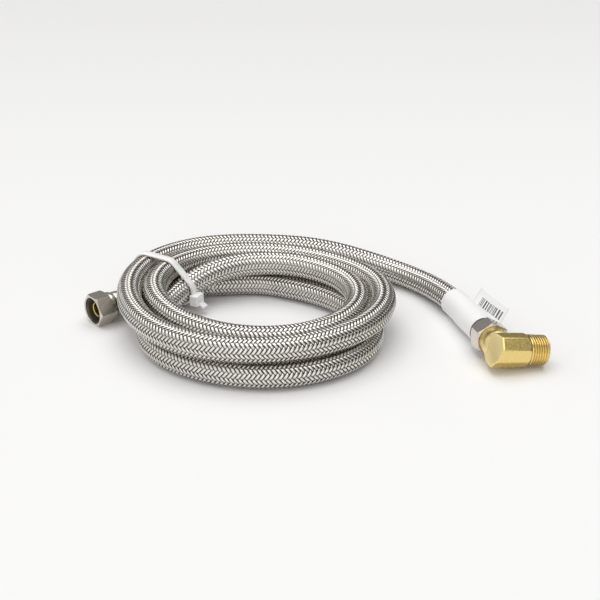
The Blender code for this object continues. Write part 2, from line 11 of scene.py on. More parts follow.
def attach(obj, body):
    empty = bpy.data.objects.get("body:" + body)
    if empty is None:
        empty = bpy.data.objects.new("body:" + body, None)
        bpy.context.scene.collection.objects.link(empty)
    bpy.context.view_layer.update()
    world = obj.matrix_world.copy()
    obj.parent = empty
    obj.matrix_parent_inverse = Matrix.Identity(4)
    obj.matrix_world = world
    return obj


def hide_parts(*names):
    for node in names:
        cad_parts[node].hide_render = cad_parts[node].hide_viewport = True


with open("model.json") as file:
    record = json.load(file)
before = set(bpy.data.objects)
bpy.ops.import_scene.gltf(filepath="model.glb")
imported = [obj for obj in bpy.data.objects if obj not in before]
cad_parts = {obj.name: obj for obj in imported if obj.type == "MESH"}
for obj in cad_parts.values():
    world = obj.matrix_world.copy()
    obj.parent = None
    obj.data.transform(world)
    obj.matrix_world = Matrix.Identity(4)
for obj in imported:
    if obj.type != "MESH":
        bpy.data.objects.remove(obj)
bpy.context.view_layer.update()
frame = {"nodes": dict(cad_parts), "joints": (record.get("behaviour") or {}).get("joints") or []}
bpy.ops.object.select_all(action="DESELECT")

# The camera stands in front of the coil and looks down on it at 25 degrees, as the photograph does.
# It is a short telephoto view of the floor point in the middle of the picture.
picture_centre = Vector((-0.0045, 0.0533, 0))
camera_distance = 0.77
camera_dip = math.radians(25)
camera_back = Vector((0, -math.cos(camera_dip), math.sin(camera_dip)))
bpy.ops.object.camera_add(
    location=picture_centre + camera_distance * camera_back, rotation=(math.pi / 2 - camera_dip, 0, 0)
)
bpy.context.scene.camera = bpy.context.object
bpy.context.object.data.lens = 79.0
bpy.context.scene.view_settings.view_transform = "Standard"

# The hose lies in a little over three turns, two of them on top of the third, and each of its ends
# comes away along the floor. Stations round the coil are chosen from the photograph, as degrees
# round its middle, radius and height, and the uncoiled points repeat the part's own.
hose_diameter = 0.014
coil_middle = Vector((-0.0302, 0.0190, 0))
coil_stations = (
    (80, 0.0698, 0.0198),
    (120, 0.0716, 0.0208),
    (160, 0.0700, 0.0226),
    (200, 0.0682, 0.0216),
    (240, 0.0698, 0.0210),
    (280, 0.0712, 0.0210),
    (320, 0.0732, 0.0210),
    (348, 0.0726, 0.0210),
    (372, 0.0686, 0.0208),
    (392, 0.0632, 0.0204),
    (412, 0.0592, 0.0200),
    (440, 0.0566, 0.0200),
    (475, 0.0576, 0.0204),
    (507, 0.0572, 0.0216),
    (540, 0.0550, 0.0216),
    (575, 0.0516, 0.0204),
    (610, 0.0532, 0.0200),
    (645, 0.0576, 0.0200),
    (680, 0.0600, 0.0200),
    (712, 0.0584, 0.0202),
    (736, 0.0536, 0.0206),
    (758, 0.0478, 0.0210),
    (784, 0.0430, 0.0210),
    (815, 0.0406, 0.0204),
    (842, 0.0412, 0.0186),
    (862, 0.0446, 0.0148),
    (882, 0.0496, 0.0098),
    (908, 0.0570, 0.0072),
    (936, 0.0642, 0.0070),
    (970, 0.0686, 0.0070),
    (1008, 0.0734, 0.0070),
    (1040, 0.0736, 0.0070),
    (1066, 0.0664, 0.0070),
    (1092, 0.0544, 0.0070),
    (1120, 0.0454, 0.0070),
    (1150, 0.0422, 0.0070),
    (1180, 0.0438, 0.0070),
    (1203, 0.0486, 0.0076),
)
tail_points = (
    (0.0870, 0.0213, 0.0082),
    (0.0798, 0.0413, 0.0079),
    (0.0695, 0.0598, 0.0072),
    (0.0565, 0.0739, 0.0074),
    (0.0415, 0.0823, 0.0096),
    (0.0240, 0.0867, 0.0135),
    (0.0055, 0.0883, 0.0172),
)
lead_points = (
    (-0.0545, 0.0602, 0.0076),
    (-0.0665, 0.0568, 0.0076),
    (-0.0785, 0.0498, 0.0080),
)
elbow_corner = Vector((0.1013, -0.0328, 0.0113))
elbow_heading = math.radians(-75)
elbow_rise = math.radians(3.5)
elbow_roll = math.radians(7.3)
nut_standoff = 0.0136
nut_length = 0.0130
sleeve_length = 0.0130
clearance = 0.0003
straight_start = 0.007
hose_depth = nut_length + sleeve_length + 2 * clearance
up = Vector((0, 0, 1))
swivel = next(joint for joint in frame["joints"] if joint["name"] == "inlet_nut_swivel")
inlet_face = Vector(swivel["pos_m"])
inlet_out = Vector(swivel["axis"]).normalized()
elbow_in = Vector(
    (
        math.cos(elbow_heading) * math.cos(elbow_rise),
        math.sin(elbow_heading) * math.cos(elbow_rise),
        math.sin(elbow_rise),
    )
)
level_leg = Vector((-math.sin(elbow_heading), math.cos(elbow_heading), 0))
elbow_leg = math.cos(elbow_roll) * level_leg - math.sin(elbow_roll) * elbow_in.cross(level_leg)
elbow_hose_end = elbow_corner - (nut_standoff + hose_depth) * elbow_in
inlet_hose_end = inlet_face - hose_depth * inlet_out


def smooth_line(points, spacing):
    """Evenly spaced points along the natural cubic spline through the given ones, with its directions."""
    given = np.array([tuple(point) for point in points])
    along = np.concatenate([[0], np.cumsum(np.linalg.norm(np.diff(given, axis=0), axis=1))])
    span = np.diff(along)
    last = len(along) - 1
    system = np.zeros((last + 1, last + 1))
    right = np.zeros((last + 1, 3))
    system[0, 0] = system[last, last] = 1
    for i in range(1, last):
        system[i, i - 1 : i + 2] = span[i - 1], 2 * (span[i - 1] + span[i]), span[i]
        right[i] = 6 * ((given[i + 1] - given[i]) / span[i] - (given[i] - given[i - 1]) / span[i - 1])
    bend = np.linalg.solve(system, right)
    place = np.linspace(0, along[-1], 8000)
    piece = np.clip(np.searchsorted(along, place, side="right") - 1, 0, last - 1)
    before = (place - along[piece])[:, None]
    after = (along[piece + 1] - place)[:, None]
    wide = span[piece][:, None]
    fine = (
        (bend[piece] * after**3 + bend[piece + 1] * before**3) / (6 * wide)
        + (given[piece] / wide - bend[piece] * wide / 6) * after
        + (given[piece + 1] / wide - bend[piece + 1] * wide / 6) * before
    )
    length = np.concatenate([[0], np.cumsum(np.linalg.norm(np.diff(fine, axis=0), axis=1))])
    even = np.linspace(0, length[-1], round(length[-1] / spacing) + 1)
    line = np.stack([np.interp(even, length, fine[:, axis]) for axis in range(3)], axis=1)
    return line, even


def cross_sections(line):
    """The side and upward directions square to the line at each of its points."""
    heading = np.gradient(line, axis=0)
    heading /= np.linalg.norm(heading, axis=1)[:, None]
    side = np.cross(heading, [0.0, 0.0, 1.0])
    side /= np.linalg.norm(side, axis=1)[:, None]
    return side, np.cross(side, heading)


coil_points = []
for degrees, radius, height in coil_stations:
    angle = math.radians(degrees)
    coil_points.append(coil_middle + Vector((radius * math.cos(angle), radius * math.sin(angle), height)))
route = [elbow_hose_end, elbow_hose_end - straight_start * elbow_in]
route += [*tail_points, *coil_points, *lead_points]
route += [inlet_hose_end - straight_start * inlet_out, inlet_hose_end]
route.reverse()
hose_spacing = 0.003
fine_spacing = 0.0005
hose_line, hose_along = smooth_line(route, hose_spacing)

# Inside the braid runs the black rubber hose itself. It shows only as the dark behind the gaps
# between the strands.
lining_radius = 0.00615


def mesh_piece(name, vertices, faces, material, uv=None):
    """A new object from points and faces, smooth, with its places in its mesh."""
    mesh = bpy.data.meshes.new(name)
    mesh.vertices.add(len(vertices))
    mesh.vertices.foreach_set("co", np.asarray(vertices, np.float32).ravel())
    faces = np.asarray(faces, np.int32)
    mesh.loops.add(faces.size)
    mesh.loops.foreach_set("vertex_index", faces.ravel())
    mesh.polygons.add(len(faces))
    mesh.polygons.foreach_set("loop_start", np.arange(0, faces.size, faces.shape[1], dtype=np.int32))
    mesh.polygons.foreach_set("loop_total", np.full(len(faces), faces.shape[1], np.int32))
    mesh.update(calc_edges=True)
    if uv is not None:
        layer = mesh.uv_layers.new(name="UVMap")
        layer.data.foreach_set("uv", np.asarray(uv, np.float32)[faces.ravel()].ravel())
    mesh.validate()
    mesh.shade_smooth()
    mesh.materials.append(material)
    made = bpy.data.objects.new(name, mesh)
    bpy.context.scene.collection.objects.link(made)
    return made


def new_material(name, colour, roughness, metallic=0.0):
    """A Principled material and its node tree."""
    made = bpy.data.materials.new(name)
    made.use_nodes = True
    shader = made.node_tree.nodes["Principled BSDF"]
    shader.inputs["Base Color"].default_value = (*colour, 1)
    shader.inputs["Roughness"].default_value = roughness
    shader.inputs["Metallic"].default_value = metallic
    return made, made.node_tree, shader


def grain_group():
    """A fine surface grain: soft blotches in the shine and a slight unevenness under the light."""
    group = bpy.data.node_groups.new("surface_grain", "ShaderNodeTree")
    for name, value in (("Scale", 400.0), ("Dull", 0.3), ("Shiny", 0.2)):
        socket = group.interface.new_socket(name, in_out="INPUT", socket_type="NodeSocketFloat")
        socket.default_value = value
    group.interface.new_socket("Roughness", in_out="OUTPUT", socket_type="NodeSocketFloat")
    group.interface.new_socket("Height", in_out="OUTPUT", socket_type="NodeSocketFloat")
    inputs = group.nodes.new("NodeGroupInput")
    outputs = group.nodes.new("NodeGroupOutput")
    place = group.nodes.new("ShaderNodeTexCoord")
    blotch = group.nodes.new("ShaderNodeTexNoise")
    blotch.inputs["Detail"].default_value = 4
    spread = group.nodes.new("ShaderNodeMapRange")
    spread.inputs["From Min"].default_value = 0.35
    spread.inputs["From Max"].default_value = 0.65
    link = group.links.new
    link(place.outputs["Object"], blotch.inputs["Vector"])
    link(inputs.outputs["Scale"], blotch.inputs["Scale"])
    link(blotch.outputs["Fac"], spread.inputs["Value"])
    link(inputs.outputs["Shiny"], spread.inputs["To Min"])
    link(inputs.outputs["Dull"], spread.inputs["To Max"])
    link(spread.outputs["Result"], outputs.inputs["Roughness"])
    link(blotch.outputs["Fac"], outputs.inputs["Height"])
    return group


surface_grain = grain_group()


def add_grain(tree, shader, scale, shiny, dull, depth):
    """The grain on a material: its roughness, and a bump of this strength."""
    grain = tree.nodes.new("ShaderNodeGroup")
    grain.node_tree = surface_grain
    grain.inputs["Scale"].default_value = scale
    grain.inputs["Shiny"].default_value = shiny
    grain.inputs["Dull"].default_value = dull
    bump = tree.nodes.new("ShaderNodeBump")
    bump.inputs["Strength"].default_value = depth
    bump.inputs["Distance"].default_value = 0.0001
    tree.links.new(grain.outputs["Roughness"], shader.inputs["Roughness"])
    tree.links.new(grain.outputs["Height"], bump.inputs["Height"])
    tree.links.new(bump.outputs["Normal"], shader.inputs["Normal"])


black_rubber, rubber_tree, rubber_shader = new_material("black_rubber", (0.020, 0.019, 0.017), 0.55)
add_grain(rubber_tree, rubber_shader, 900, 0.5, 0.7, 0.3)
side, above = cross_sections(hose_line)
sides = 24
around = np.arange(sides) * 2 * math.pi / sides
ring = np.cos(around)[None, :, None] * side[:, None] + np.sin(around)[None, :, None] * above[:, None]
lining_points = (hose_line[:, None] + lining_radius * ring).reshape(-1, 3)
rows = np.arange(len(hose_line) - 1)[:, None] * sides
now = np.arange(sides)[None]
after = (now + 1) % sides
lining_faces = np.stack([rows + now, rows + after, rows + sides + after, rows + sides + now], -1)
hose = mesh_piece("hose_lining", lining_points, lining_faces.reshape(-1, 4), black_rubber)

# The braid is 28 flat strands of fine stainless wires, 14 wound each way, and each strand passes
# over two and under two. That gives rows of slanted floats along the hose, in a herringbone.
strands = 14
lead = 0.031
strand_width = 0.00158
strand_crown = 0.00034
over_radius = hose_diameter / 2
under_radius = over_radius - 0.00080
braid_sink = 0.00004
float_stretch = 1.35
steps_per_crossing = 1.5
wires_per_strand = 5
braid_steel, braid_tree, braid_shader = new_material("braid_steel", (0.80, 0.79, 0.76), 0.14, 1.0)


def math_node(tree, operation, first, second=0.0):
    """A Math node on a socket and a number, or on two sockets."""
    node = tree.nodes.new("ShaderNodeMath")
    node.operation = operation
    for i, value in enumerate((first, second)):
        if isinstance(value, float):
            node.inputs[i].default_value = value
        else:
            tree.links.new(value, node.inputs[i])
    return node.outputs["Value"]


def ramp_node(tree, value, low, high, start, stop):
    """A smooth step: the first level below the low value, the second above the high one."""
    node = tree.nodes.new("ShaderNodeMapRange")
    node.interpolation_type = "SMOOTHSTEP"
    node.inputs["From Min"].default_value = low
    node.inputs["From Max"].default_value = high
    node.inputs["To Min"].default_value = start
    node.inputs["To Max"].default_value = stop
    tree.links.new(value, node.inputs["Value"])
    return node.outputs["Result"]


def uv_places(tree):
    """The two coordinates of a material's UV map."""
    uv_map = tree.nodes.new("ShaderNodeUVMap")
    uv_map.uv_map = "UVMap"
    split = tree.nodes.new("ShaderNodeSeparateXYZ")
    tree.links.new(uv_map.outputs["UV"], split.inputs["Vector"])
    return split.outputs["X"], split.outputs["Y"]


def blend_colour(tree, shader, factor, first, second):
    """The shader's colour: the first where the factor is 0, the second where it is 1."""
    blend = tree.nodes.new("ShaderNodeMix")
    blend.data_type = "RGBA"
    blend.inputs["A"].default_value = (*first, 1)
    blend.inputs["B"].default_value = (*second, 1)
    tree.links.new(factor, blend.inputs["Factor"])
    tree.links.new(blend.outputs["Result"], shader.inputs["Base Color"])


# A strand's colour carries painted shade: dark along its edges and where it dives under the others. Its
# wires show as fine ridges.
strand_weave, strand_across = uv_places(braid_tree)
hump_phase = math_node(braid_tree, "MULTIPLY", strand_across, math.pi)
strand_hump = math_node(braid_tree, "SINE", hump_phase)
strand_shade = ramp_node(braid_tree, strand_hump, 0.08, 0.66, 0.0, 1.0)
weave_shade = ramp_node(braid_tree, strand_weave, -0.50, 0.80, 0.0, 1.0)
strand_painted_shade = math_node(braid_tree, "MULTIPLY", strand_shade, weave_shade)
blend_colour(braid_tree, braid_shader, strand_painted_shade, (0.040, 0.034, 0.026), (0.85, 0.815, 0.77))
wire_phase = math_node(braid_tree, "MULTIPLY", strand_across, wires_per_strand * math.pi)
wire_ridge = math_node(braid_tree, "ABSOLUTE", math_node(braid_tree, "SINE", wire_phase))
wire_bump = braid_tree.nodes.new("ShaderNodeBump")
wire_bump.inputs["Strength"].default_value = 0.35
wire_bump.inputs["Distance"].default_value = 0.0001
braid_tree.links.new(wire_ridge, wire_bump.inputs["Height"])
braid_tree.links.new(wire_bump.outputs["Normal"], braid_shader.inputs["Normal"])


def braid(name, hand):
    """All the strands wound one way: flat ribbons on helices round the hose, weaving in and out."""
    spacing = lead / (2 * strands) / steps_per_crossing
    line, along = smooth_line(route, spacing)
    side, above = cross_sections(line)
    turn = 2 * math.pi * (np.arange(strands)[:, None] / strands + hand * along[None] / lead)
    weave = hand * np.cos(math.pi / 2 * (turn * strands / math.pi - 0.5))
    weave = np.clip(float_stretch * weave, -1, 1)
    radius = (over_radius + under_radius) / 2 + (over_radius - under_radius) / 2 * weave - braid_sink
    outward = np.cos(turn)[..., None] * side[None] + np.sin(turn)[..., None] * above[None]
    middle = line[None] + radius[..., None] * outward
    run = np.gradient(middle, axis=1)
    across = np.cross(run, outward)
    across /= np.linalg.norm(across, axis=2)[..., None]
    shares = (-0.5, -0.2, 0.2, 0.5)
    rows = []
    for share in shares:
        drop = strand_crown * (share / 0.5) ** 2
        rows.append(middle + share * strand_width * across - drop * outward)
    points = np.stack(rows, axis=2)
    count, width = points.shape[1:3]
    first = np.arange(strands)[:, None, None] * count * width
    row = np.arange(count - 1)[None, :, None] * width
    column = np.arange(width - 1)[None, None]
    corner = first + row + column
    faces = np.stack([corner, corner + 1, corner + width + 1, corner + width], -1)
    spread = np.broadcast_to(np.array(shares) + 0.5, points.shape[:3])
    depth = np.broadcast_to(weave[..., None], points.shape[:3])
    uv = np.stack([depth, spread], -1).reshape(-1, 2)
    return mesh_piece(name, points.reshape(-1, 3), faces.reshape(-1, 4), braid_steel, uv)


braid_right = braid("hose_braid_right", 1)
braid_left = braid("hose_braid_left", -1)

# Nickel plate covers the nuts and the sleeves: a warm grey metal with a soft, slightly uneven shine.
nickel_plate, nickel_tree, nickel_shader = new_material("nickel_plate", (0.68, 0.63, 0.57), 0.24, 1.0)
add_grain(nickel_tree, nickel_shader, 500, 0.22, 0.27, 0.03)


def frame_of(x, y, z, origin):
    """The placing that has these three axes at this point."""
    return Matrix.Translation(origin) @ Matrix((x, y, z)).transposed().to_4x4()


inlet_place = frame_of(up, inlet_out.cross(up), inlet_out, inlet_face)
elbow_place = frame_of(elbow_in.cross(elbow_leg), -elbow_leg, elbow_in, elbow_corner)
coupling_place = elbow_place @ Matrix.Translation((0, 0, -nut_standoff))


def turned(name, profile, material):
    """A profile of (radius, height), running down its outer side, turned round the upright axis."""
    mesh = bpy.data.meshes.new(name)
    edges = [(i, i + 1) for i in range(len(profile) - 1)]
    if profile[0][0] > 0:
        edges.append((len(profile) - 1, 0))
    mesh.from_pydata([(radius, 0, height) for radius, height in profile], edges, [])
    mesh.materials.append(material)
    made = bpy.data.objects.new(name, mesh)
    bpy.context.scene.collection.objects.link(made)
    screw = made.modifiers.new("turn", "SCREW")
    screw.steps = screw.render_steps = 96
    screw.use_merge_vertices = True
    screw.merge_threshold = 1e-6
    apply_modifiers(made)
    return made


def select_only(piece):
    """The piece selected alone, and active for the operators."""
    bpy.ops.object.select_all(action="DESELECT")
    bpy.context.view_layer.objects.active = piece
    piece.select_set(True)


def apply_modifiers(piece):
    """All the modifiers of the piece made part of its mesh, in their order."""
    select_only(piece)
    for modifier in list(piece.modifiers):
        bpy.ops.object.modifier_apply(modifier=modifier.name)


def cut(piece, operation, other):
    """One solid joined to, or cut by, another, which is then gone."""
    step = piece.modifiers.new(operation.lower(), "BOOLEAN")
    step.operation = operation
    step.object = other
    apply_modifiers(piece)
    bpy.data.objects.remove(other, do_unlink=True)


def ease_edges(piece, width, segments=2):
    """Small rounds on the edges, which catch the light, and smooth shading over them."""
    bevel = piece.modifiers.new("edges", "BEVEL")
    bevel.width = width
    bevel.segments = segments
    bevel.limit_method = "ANGLE"
    bevel.angle_limit = math.radians(30)
    apply_modifiers(piece)
    level_flats(piece, 40)


def level_flats(piece, angle):
    """Smooth shading up to this angle, with the wide flats kept level."""
    select_only(piece)
    bpy.ops.object.shade_smooth_by_angle(angle=math.radians(angle))
    level = piece.modifiers.new("level_flats", "WEIGHTED_NORMAL")
    level.keep_sharp = True
    level.weight = 100
    apply_modifiers(piece)


def put(piece, place, body):
    """The piece moved to its place, with the place kept in its mesh, and riding on its body."""
    piece.data.transform(place)
    piece.data.update()
    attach(piece, body)


def prism(name, sides, flats, bottom, top):
    """A prism round the upright axis, with a pair of its flats square to X."""
    turn = math.pi / sides + math.pi / 2
    bpy.ops.mesh.primitive_cylinder_add(
        vertices=sides,
        radius=flats / 2 / math.cos(math.pi / sides),
        depth=top - bottom,
        location=(0, 0, (top + bottom) / 2),
        rotation=(0, 0, turn),
    )
    made = bpy.context.object
    made.name = name
    bpy.ops.object.transform_apply(location=True, rotation=True, scale=True)
    return made


def thread(name, material, radius_at, start, stop, pitch, depth, steps=72, rows=10):
    """A helical V thread on a turned wall, between two heights, fading out at both ends."""
    steepness = 1.35
    root_share = 0.15
    count = round(abs(stop - start) / pitch * rows)
    bpy.ops.mesh.primitive_grid_add(x_subdivisions=steps, y_subdivisions=count, size=2)
    made = bpy.context.object
    made.name = name
    for vertex in made.data.vertices:
        share = (vertex.co.y + 1) / 2
        angle = (vertex.co.x + 1) * math.pi
        height = start + (stop - start) * share
        phase = (height / pitch - angle / (2 * math.pi)) % 1
        tooth = 1 - abs(2 * phase - 1)
        tooth = min(max(steepness * tooth - root_share, 0), 1)
        fade = min(1, share * count / rows, (1 - share) * count / rows)
        radius = radius_at(height) - depth * (1 - tooth) * fade
        vertex.co = (radius * math.cos(angle), radius * math.sin(angle), height)
    bpy.ops.object.mode_set(mode="EDIT")
    bpy.ops.mesh.select_all(action="SELECT")
    bpy.ops.mesh.remove_doubles(threshold=1e-6)
    bpy.ops.object.mode_set(mode="OBJECT")
    made.data.shade_smooth()
    made.data.materials.append(material)
    return made


# The swivel nuts are hexagon bar, 17 mm across the flats, chamfered at both ends and turned down to
# a round shoulder behind. Inside they are bored and threaded for the valve or the elbow.
nut_flats = 0.0170
nut_hex_length = 0.0096
nut_face_radius = 0.0083
nut_shoulder_radius = 0.0078
nut_bore_radius = 0.0075
nut_bore_depth = 0.0089
stem_radius = 0.0050
thread_pitch = 0.00106
nut_thread_depth = 0.0006
elbow_nut_turn = math.radians(36)


def swivel_nut(name):
    """A nut with its open face at height 0 and its shoulder at the bottom."""
    corner = nut_flats / 2 / math.cos(math.pi / 6)
    chamfer = (corner - nut_face_radius) * math.tan(math.radians(30))
    envelope = [
        (0, 0),
        (nut_face_radius, 0),
        (corner + 0.0002, -chamfer - 0.0001),
        (corner + 0.0002, -nut_hex_length + chamfer + 0.0001),
        (nut_face_radius - 0.0002, -nut_hex_length),
        (nut_shoulder_radius, -nut_hex_length - 0.0003),
        (nut_shoulder_radius + 0.0001, -nut_length + 0.0016),
        (nut_shoulder_radius - 0.0002, -nut_length + 0.0007),
        (nut_shoulder_radius - 0.0006, -nut_length + 0.0002),
        (nut_shoulder_radius - 0.0012, -nut_length),
        (0, -nut_length),
    ]
    bore = [
        (0, 0.0005),
        (nut_bore_radius + 0.0008, 0.0005),
        (nut_bore_radius, -0.0003),
        (nut_bore_radius, -nut_bore_depth),
        (stem_radius + clearance, -nut_bore_depth),
        (stem_radius + clearance, -nut_length - 0.0005),
        (0, -nut_length - 0.0005),
    ]
    nut = turned(name, envelope, nickel_plate)
    cut(nut, "INTERSECT", prism("hexagon", 6, nut_flats, -2 * nut_length, nut_length))
    cut(nut, "DIFFERENCE", turned("bore", bore, nickel_plate))
    ease_edges(nut, 0.00016)
    return nut


inlet_nut = swivel_nut("inlet_swivel_nut")
# The thread inside the nut is near-black metal: painted shade for the dark inside of the bore.
thread_painted_shade, steel_tree, steel_shader = new_material("thread_painted_shade", (0.10, 0.095, 0.085), 0.20, 1.0)
add_grain(steel_tree, steel_shader, 900, 0.16, 0.26, 0.05)
inlet_thread = thread(
    "inlet_nut_thread",
    thread_painted_shade,
    lambda height: nut_bore_radius + 0.0001,
    -nut_bore_depth,
    -0.0003,
    thread_pitch,
    nut_thread_depth,
)
put(inlet_nut, inlet_place, "inlet_nut")
put(inlet_thread, inlet_place, "inlet_nut")
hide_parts("inlet_nut")
elbow_nut = swivel_nut("elbow_swivel_nut")
put(elbow_nut, coupling_place @ Matrix.Rotation(elbow_nut_turn, 4, "Z"), "hose")
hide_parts("elbow_nut")

# Each nut turns on a brass insert, whose nose seals in the valve or the elbow. The inlet's is made
# here, without its hidden barbs. The elbow's is out of sight and stays the part's own solid, as do
# both black rubber washers.
brass, brass_tree, brass_shader = new_material("brass", (0.84, 0.65, 0.24), 0.30, 1.0)
add_grain(brass_tree, brass_shader, 900, 0.24, 0.34, 0.2)
nose_radius = 0.0044
nose_recess = 0.0030
nose_length = 0.0038
flange_radius = 0.0066


def insert_stem(name):
    """An insert from its nose inside the nut to just short of the sleeve's far end."""
    bore = 0.0037
    flange = -nose_recess - nose_length
    profile = [
        (nose_radius - 0.0003, -nose_recess),
        (nose_radius, -nose_recess - 0.0003),
        (nose_radius, flange),
        (flange_radius, flange),
        (flange_radius, flange - 0.0018),
        (stem_radius, flange - 0.0018),
        (stem_radius, -hose_depth + 0.001),
        (bore, -hose_depth + 0.001),
        (bore, -nose_recess - 0.0003),
        (bore + 0.0003, -nose_recess),
    ]
    stem = turned(name, profile, brass)
    bpy.ops.object.shade_smooth_by_angle(angle=math.radians(30))
    return stem


inlet_stem = insert_stem("inlet_insert")
put(inlet_stem, inlet_place, "hose")
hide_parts("inlet_stem")

# The crimped sleeves are thin plated steel, pressed on to the hose in two shallow rings. The
# elbow's is under the label and stays the part's own solid.
sleeve_radius = hose_diameter / 2 + 0.0001


def crimped_sleeve(name):
    """A sleeve that starts right behind the nut, with its two rings pressed in."""
    start = -nut_length - clearance
    end = start - sleeve_length
    inside = sleeve_radius - 0.0004
    profile = [(stem_radius + clearance, start), (sleeve_radius - 0.0006, start)]
    profile += [(sleeve_radius - 0.0002, start - 0.0002), (sleeve_radius, start - 0.0007)]
    for share in (0.35, 0.65):
        middle = start - share * sleeve_length
        for step in range(-3, 4):
            dip = 0.00018 * math.cos(step / 3 * math.pi / 2) ** 2
            profile.append((sleeve_radius - dip, middle - step * 0.0004))
    profile += [(sleeve_radius, end + 0.0002), (sleeve_radius - 0.0001, end), (inside, end)]
    profile += [(inside, start - 0.0009), (stem_radius + clearance, start - 0.0009)]
    sleeve = turned(name, profile, nickel_plate)
    bpy.ops.object.shade_smooth_by_angle(angle=math.radians(40))
    return sleeve


inlet_sleeve = crimped_sleeve("inlet_sleeve")
put(inlet_sleeve, inlet_place, "hose")
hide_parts("inlet_crimp_sleeve")

# The elbow is forged brass: a round boss on the hose's axis, an eight-sided leg for the spanner, cut
# off at a slant behind the corner, and a tapered pipe thread. A tight nut holds it to the hose.
elbow_flats = 0.0170
boss_radius = 0.0083
boss_back = 0.0085
boss_front = -0.0015
neck_radius = 0.0078
heel_distance = 0.0063
heel_turn = math.radians(14)
heel_lean = math.radians(20)
leg_back = 0.0070
leg_hex_length = 0.0130
leg_length = 0.0240
pipe_radius = 0.0084
pipe_taper = 1 / 32
pipe_pitch = 0.00141
pipe_thread_depth = 0.00115
elbow_bore = 0.0048
boss_profile = [
    (0, boss_front),
    (boss_radius - 0.0050, boss_front),
    (boss_radius - 0.0034, boss_front - 0.0003),
    (boss_radius - 0.0020, boss_front - 0.0010),
    (boss_radius - 0.0010, boss_front - 0.0020),
    (boss_radius - 0.0003, boss_front - 0.0034),
    (boss_radius, boss_front - 0.0050),
    (boss_radius, -boss_back),
    (neck_radius, -boss_back),
    (neck_radius, -nut_standoff + clearance),
    (nut_bore_radius - 2 * clearance, -nut_standoff + clearance),
    (nut_bore_radius - 2 * clearance, -nut_standoff - 0.0035),
    (0, -nut_standoff - 0.0035),
]
cast_brass, cast_tree, cast_shader = new_material("cast_brass", (0.95, 0.80, 0.42), 0.50, 1.0)
add_grain(cast_tree, cast_shader, 700, 0.45, 0.60, 0.5)
elbow = turned("brass_elbow", boss_profile, cast_brass)
elbow.data.materials.append(brass)
# The boss and the slanted heel keep the rough skin of the forging. The neck and the flats are machined.
skin_starts = 0.0015 - boss_back
for face in elbow.data.polygons:
    face.material_index = 1 if face.center.z < skin_starts else 0
leg_turn = Matrix.Rotation(math.radians(90), 4, "X")
leg_corner = elbow_flats / 2 / math.cos(math.pi / 8)
leg = prism("elbow_leg", 8, elbow_flats, -2 * heel_distance, leg_hex_length + 0.0006)
leg.data.materials.append(cast_brass)
leg.data.materials.append(brass)
leg.data.transform(leg_turn)
heel_level = math.cos(heel_lean)
heel_out = Vector((math.sin(heel_lean), heel_level * math.cos(heel_turn), heel_level * math.sin(heel_turn)))
heel_size = 4 * elbow_flats
bpy.ops.mesh.primitive_cube_add(
    size=heel_size,
    location=heel_out * (heel_distance + heel_size / 2),
    rotation=heel_out.to_track_quat("X", "Z").to_euler(),
)
bpy.ops.object.transform_apply(location=True, rotation=True, scale=True)
cut(leg, "DIFFERENCE", bpy.context.object)
bpy.ops.mesh.primitive_cube_add(size=heel_size, location=(0, leg_back + heel_size / 2, 0))
cut(leg, "DIFFERENCE", bpy.context.object)
for face in leg.data.polygons:
    face.material_index = 1 if face.normal.y < 0.2 else 0
ease_edges(leg, 0.0007, 4)
leg_profile = [
    (0, leg_hex_length + 0.0004),
    (pipe_radius - 0.0002, leg_hex_length + 0.0004),
    (pipe_radius - 0.0002, leg_hex_length),
    (leg_corner + 0.001, leg_hex_length - 2.2 * (leg_corner + 0.001 - pipe_radius)),
    (leg_corner + 0.001, -3 * heel_distance),
    (0, -3 * heel_distance),
]
envelope = turned("leg_envelope", leg_profile, brass)
envelope.data.transform(leg_turn)
cut(leg, "INTERSECT", envelope)
cut(elbow, "UNION", leg)
bore_profile = [(0, leg_length), (elbow_bore, leg_length), (elbow_bore, 0), (0, 0)]
leg_bore = turned("leg_bore", bore_profile, brass)
leg_bore.data.transform(leg_turn)
cut(elbow, "DIFFERENCE", leg_bore)
level_flats(elbow, 35)
put(elbow, elbow_place, "hose")
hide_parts("elbow")


def pipe_wall(height):
    """The outside of the pipe thread: its taper, and a chamfer at the open end."""
    return pipe_radius - pipe_taper * (height - leg_hex_length) - max(0, height - leg_length + 0.0009) * 0.9


bright_brass, bright_tree, bright_shader = new_material("bright_brass", (0.85, 0.68, 0.31), 0.18, 1.0)
add_grain(bright_tree, bright_shader, 900, 0.14, 0.24, 0.1)
pipe_thread = thread(
    "elbow_pipe_thread",
    bright_brass,
    pipe_wall,
    leg_hex_length,
    leg_length,
    pipe_pitch,
    pipe_thread_depth,
    steps=96,
    rows=12,
)
end_profile = [(pipe_wall(leg_length), leg_length), (pipe_wall(leg_length), leg_length - 0.0003)]
end_profile += [(elbow_bore, leg_length - 0.0120), (elbow_bore, leg_length - 0.0004)]
end_profile += [(elbow_bore + 0.0004, leg_length)]
pipe_end = turned("elbow_thread_end", end_profile, brass)
bpy.ops.object.shade_smooth_by_angle(angle=math.radians(30))
for piece in (pipe_thread, pipe_end):
    put(piece, elbow_place @ leg_turn, "hose")

